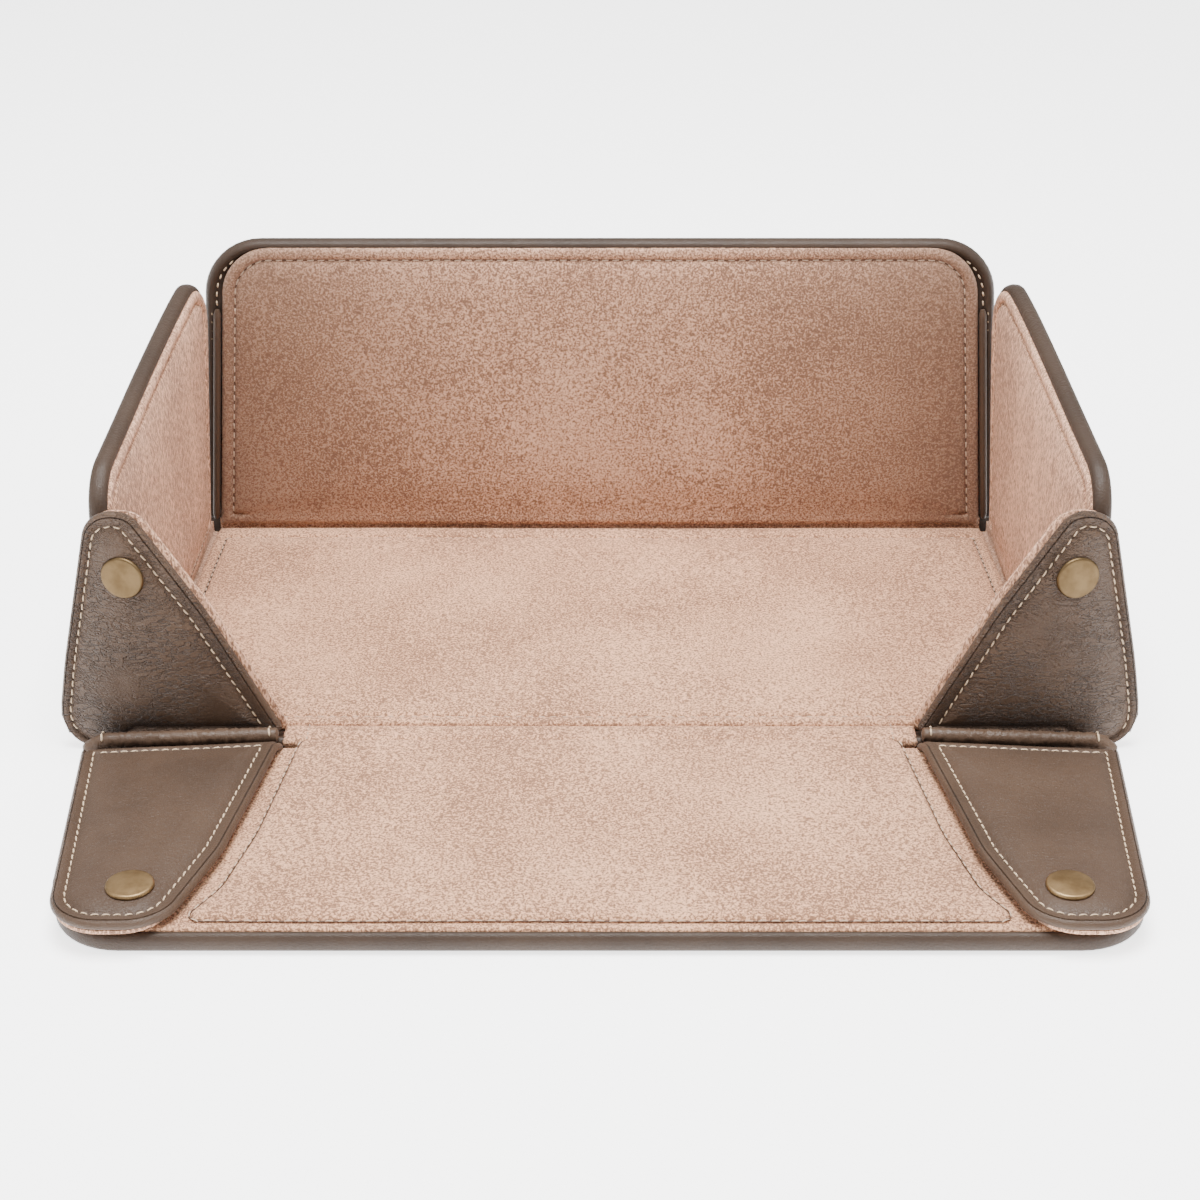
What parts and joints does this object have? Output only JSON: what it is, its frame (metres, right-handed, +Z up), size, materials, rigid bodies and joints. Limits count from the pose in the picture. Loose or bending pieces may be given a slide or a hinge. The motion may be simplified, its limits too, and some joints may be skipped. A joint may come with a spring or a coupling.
{
  "type": "folding valet tray",
  "caption": "Rectangular valet tray with stiff padded leather walls lined in suede, each folding down at the base; the drop front has folding corner wings with snap caps.",
  "frame": {"origin": "middle of the base's flat underside", "axes": "+X to the tray's right seen from the open front, +Y to the back wall, +Z up"},
  "size_m": [0.271, 0.22, 0.0976],
  "materials": {
    "leather": "smooth taupe leather with a fine grain, semi-matte, cream thread",
    "suede": "short-nap rose-beige suede, brushed",
    "board": "pressed fibreboard, hidden",
    "brass": "brushed antique brass"
  },
  "bodies": {
    "base": {"back_hinge_channel": "suede", "base_board": "board", "base_cover": "leather", "base_lining": "suede", "front_hinge_channel": "suede", "front_hinge_roll_left": "leather", "front_hinge_roll_right": "leather", "left_hinge_channel": "suede", "right_hinge_channel": "suede"},
    "front_wall": {"front_board": "board", "front_cover": "leather", "front_lining": "suede", "front_stud_left": "brass", "front_stud_right": "brass"},
    "back_wall": {"back_board": "board", "back_corner_roll_left": "leather", "back_corner_roll_right": "leather", "back_cover": "leather", "back_lining": "suede"},
    "left_wall": {"left_board": "board", "left_cover": "leather", "left_lining": "suede", "left_stud": "brass"},
    "right_wall": {"right_board": "board", "right_cover": "leather", "right_lining": "suede", "right_stud": "brass"},
    "left_wing": {"left_wing_cover": "leather", "left_wing_lining": "suede", "left_wing_snap_cap": "brass", "left_wing_snap_socket": "brass"},
    "right_wing": {"right_wing_cover": "leather", "right_wing_lining": "suede", "right_wing_snap_cap": "brass", "right_wing_snap_socket": "brass"},
    "front_wing_left": {"front_wing_left_cover": "leather", "front_wing_left_lining": "suede", "front_wing_left_snap_cap": "brass", "front_wing_left_snap_socket": "brass"},
    "front_wing_right": {"front_wing_right_cover": "leather", "front_wing_right_lining": "suede", "front_wing_right_snap_cap": "brass", "front_wing_right_snap_socket": "brass"}
  },
  "joints": [
    {"name": "front_wall_fold", "type": "hinge", "parent": "base", "child": "front_wall", "pos_m": [0, -0.06885, 0.005], "axis": [-1, 0, 0], "range_deg": [0, 88]},
    {"name": "back_wall_fold", "type": "hinge", "parent": "base", "child": "back_wall", "pos_m": [0, 0.06265, 0.005], "axis": [-1, 0, 0], "range_deg": [0, 90]},
    {"name": "left_wall_fold", "type": "hinge", "parent": "base", "child": "left_wall", "pos_m": [-0.12115, 0, 0.005], "axis": [-0.0327, -0.9995, 0], "range_deg": [0, 96]},
    {"name": "right_wall_fold", "type": "hinge", "parent": "base", "child": "right_wall", "pos_m": [0.12115, 0, 0.005], "axis": [-0.0327, 0.9995, 0], "range_deg": [0, 96]},
    {"name": "left_wing_fold", "type": "hinge", "parent": "left_wall", "child": "left_wing", "pos_m": [-0.12247, -0.05875, 0.00499], "axis": [0.0087, -0.0003, 1], "range_deg": [0, 80]},
    {"name": "right_wing_fold", "type": "hinge", "parent": "right_wall", "child": "right_wing", "pos_m": [0.12247, -0.05875, 0.00499], "axis": [0.0087, 0.0003, -1], "range_deg": [0, 80]},
    {"name": "front_wing_left_fold", "type": "hinge", "parent": "front_wall", "child": "front_wing_left", "pos_m": [-0.12997, -0.1142, 0.0056], "axis": [0.0746, -0.9972, 0], "range_deg": [0, 180]},
    {"name": "front_wing_right_fold", "type": "hinge", "parent": "front_wall", "child": "front_wing_right", "pos_m": [0.12997, -0.1142, 0.0056], "axis": [0.0746, 0.9972, 0], "range_deg": [0, 180]}
  ]
}
